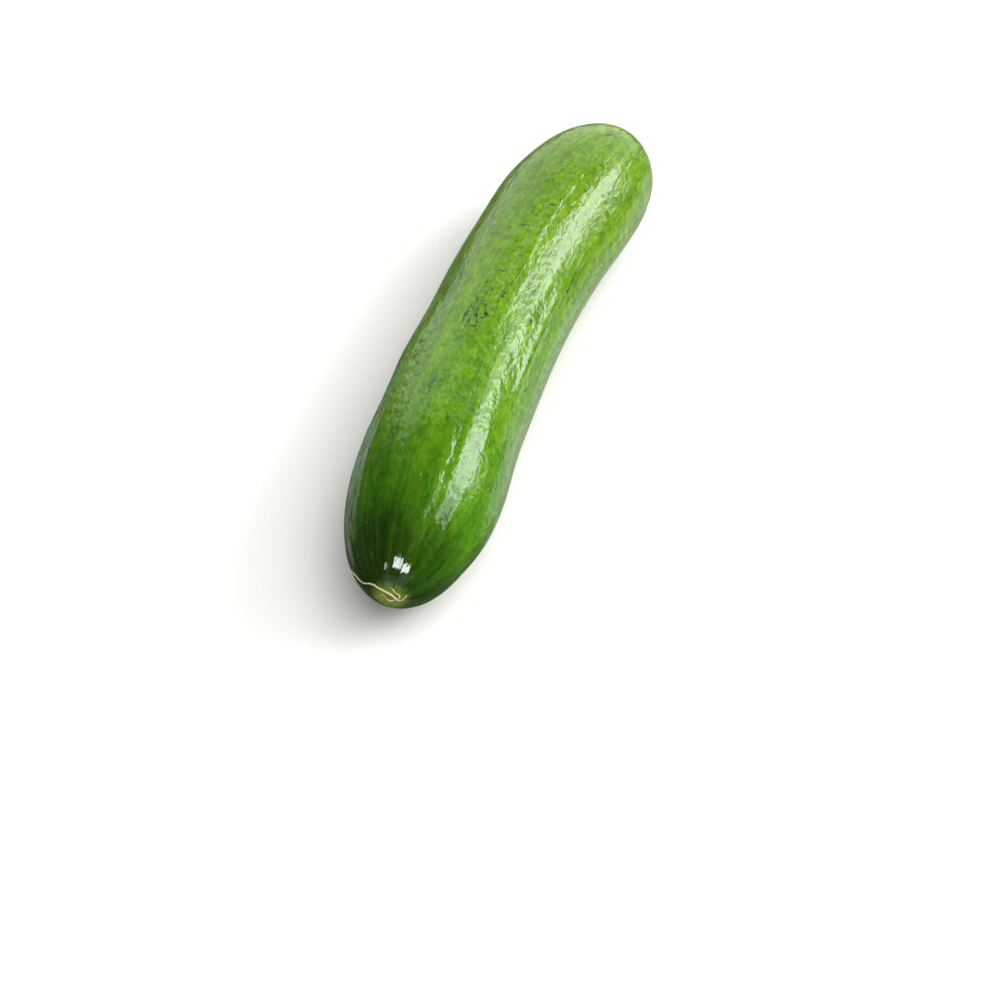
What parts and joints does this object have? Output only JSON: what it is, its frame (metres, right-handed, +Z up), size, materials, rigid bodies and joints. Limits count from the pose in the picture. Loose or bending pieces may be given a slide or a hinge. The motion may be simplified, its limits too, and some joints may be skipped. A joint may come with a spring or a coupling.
{
  "type": "cucumber",
  "caption": "Small smooth-skinned cucumber, whole, gently curved and lying on its side, with its blossom scar and dried flower thread.",
  "frame": {"origin": "bottom centre of the bounding box, on the surface that the fruit lies on", "axes": "+X from the blossom end to the stem end, +Z up, +Y towards the outside of the bend"},
  "size_m": [0.1564, 0.0384, 0.035],
  "materials": {
    "skin": "satin",
    "dried_flower": "matte"
  },
  "bodies": {
    "root": {"cucumber": "skin", "blossom_thread": "dried_flower"}
  },
  "joints": []
}
